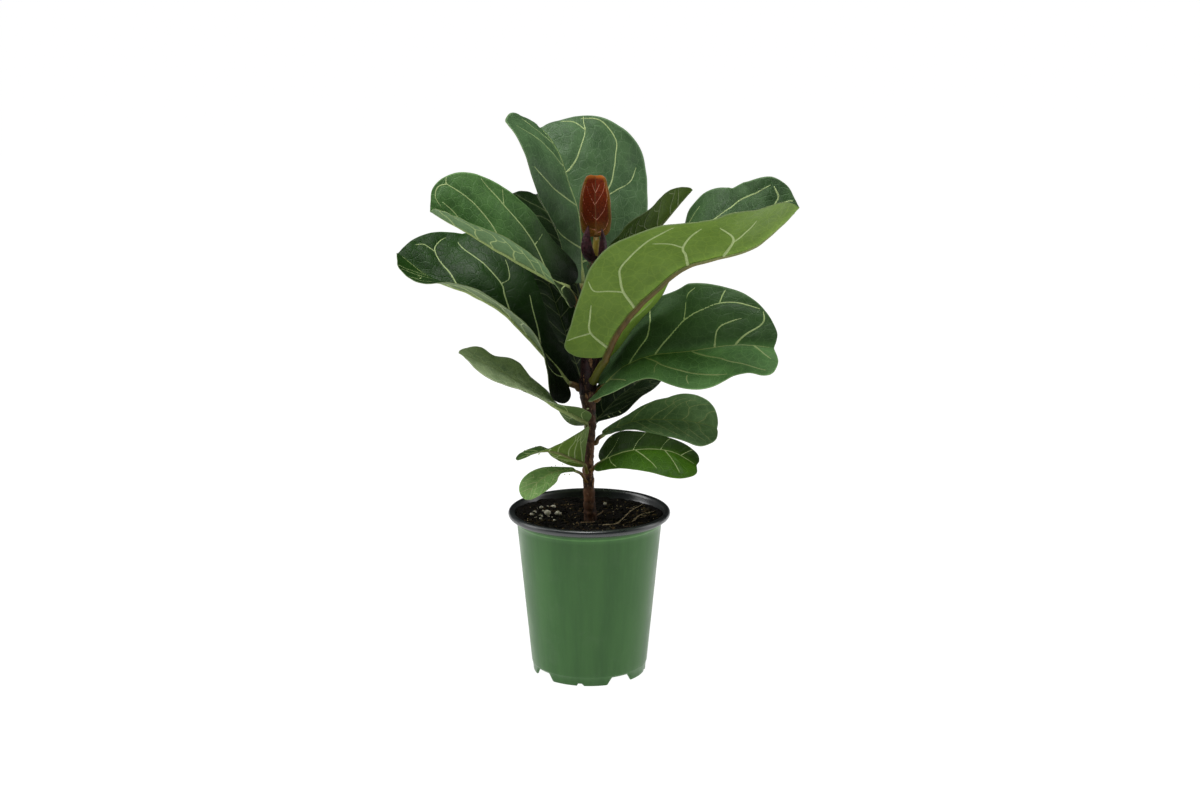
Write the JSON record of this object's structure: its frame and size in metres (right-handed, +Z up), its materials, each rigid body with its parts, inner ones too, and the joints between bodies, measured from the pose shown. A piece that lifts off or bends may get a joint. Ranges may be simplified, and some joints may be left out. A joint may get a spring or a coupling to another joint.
{
  "type": "potted fiddle leaf fig",
  "caption": "Young fiddle leaf fig with broad veined leaves and a red unfolding leaf on one upright stem, growing in a green nursery pot of dark potting mix.",
  "frame": {"origin": "on the floor under the centre of the pot, which is the middle of the whole plant to within a few millimetres", "axes": "+Z up along the stem, the longest extent; -Y is the front of the plant, +X its right seen from the front"},
  "size_m": [0.3503, 0.2755, 0.5121],
  "materials": {
    "pot_plastic": "satin moulded plastic, dark green, nearly black at the rim",
    "potting_mix": "rough, crumbly, damp peat and bark",
    "bark": "rough bark with dry stipule scraps",
    "leaf": "leathery, satin above and paler and duller below, with raised pale veins",
    "young_leaf": "soft satin with pink veins",
    "stipule": "papery, satin",
    "perlite": "rough, crumbly",
    "dry_wood": "rough, dry"
  },
  "bodies": {
    "root": {"pot": "pot_plastic", "potting_mix": "potting_mix", "stem": "bark", "leaf_01": "leaf", "leaf_02": "leaf", "leaf_03": "leaf", "leaf_04": "leaf", "leaf_05": "leaf", "leaf_06": "leaf", "leaf_07": "leaf", "leaf_08": "leaf", "leaf_09": "leaf", "leaf_10": "leaf", "leaf_11": "leaf", "leaf_12": "leaf", "leaf_13": "leaf", "leaf_14": "leaf", "young_leaf": "young_leaf", "stipule_left": "stipule", "stipule_right": "stipule", "perlite_1": "perlite", "perlite_2": "perlite", "perlite_3": "perlite", "perlite_4": "perlite", "perlite_5": "perlite", "perlite_6": "perlite", "twig_1": "dry_wood", "twig_2": "dry_wood", "surface_root_1": "dry_wood", "surface_root_2": "dry_wood"}
  },
  "joints": []
}
